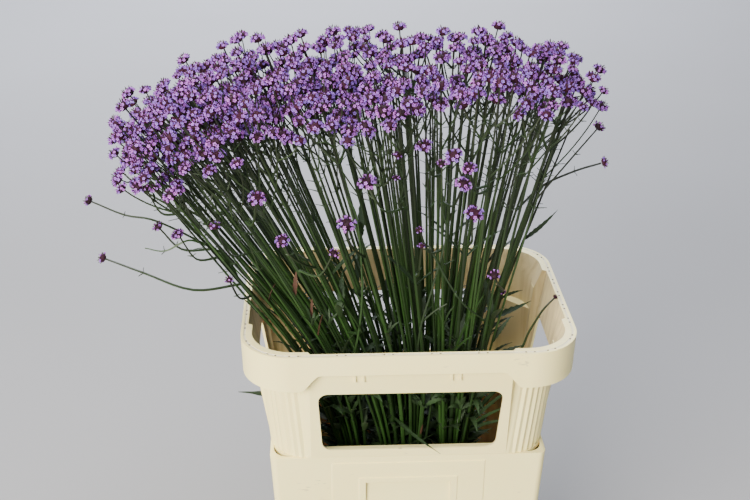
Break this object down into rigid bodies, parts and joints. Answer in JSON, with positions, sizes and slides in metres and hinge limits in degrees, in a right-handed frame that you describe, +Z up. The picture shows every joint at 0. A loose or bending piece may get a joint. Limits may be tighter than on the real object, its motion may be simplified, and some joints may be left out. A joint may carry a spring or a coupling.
{
  "type": "cut flowers in a flower seller's bucket",
  "caption": "Cut tall verbena with heads of small purple flowers on long green stems, standing in water in a tapered cream plastic bucket with a wide windowed collar.",
  "frame": {"origin": "centre of the bucket's flat underside", "axes": "+Z up, +X to the right seen from the front, +Y to the back, away from the wide front panel"},
  "size_m": [0.6235, 0.3152, 0.7298],
  "materials": {
    "cream_plastic": "satin moulded plastic, slightly scuffed",
    "water": "clear water, slightly green",
    "stem": "matte green stem",
    "flower": "soft purple petals"
  },
  "bodies": {
    "root": {"bucket": "cream_plastic", "collar": "cream_plastic", "water": "water", "bunch_left_front": "stem", "bunch_left_back": "stem", "bunch_middle_front": "stem", "bunch_middle_back": "stem", "bunch_right_front": "stem", "bunch_right_back": "stem", "spray_01": "flower", "spray_02": "flower", "spray_03": "flower", "spray_04": "flower", "spray_05": "flower", "spray_06": "flower", "spray_07": "flower", "spray_08": "flower", "spray_09": "flower", "spray_10": "flower", "spray_11": "flower", "spray_12": "flower", "spray_13": "flower", "spray_14": "flower", "spray_15": "flower", "spray_16": "flower", "spray_17": "flower", "spray_18": "flower", "spray_19": "flower", "spray_20": "flower", "spray_21": "flower", "spray_22": "flower", "spray_23": "flower", "spray_24": "flower", "spray_25": "flower", "spray_26": "flower", "spray_27": "flower", "spray_28": "flower", "spray_29": "flower", "spray_30": "flower", "spray_31": "flower", "spray_32": "flower", "spray_33": "flower", "spray_34": "flower", "spray_35": "flower", "spray_36": "flower", "spray_37": "flower", "spray_38": "flower", "spray_39": "flower", "spray_40": "flower", "spray_41": "flower", "spray_42": "flower", "shoot_1": "flower", "shoot_2": "flower", "shoot_3": "flower", "shoot_4": "flower", "shoot_5": "flower", "shoot_6": "flower", "shoot_7": "flower", "shoot_8": "flower", "shoot_9": "flower"}
  },
  "joints": []
}
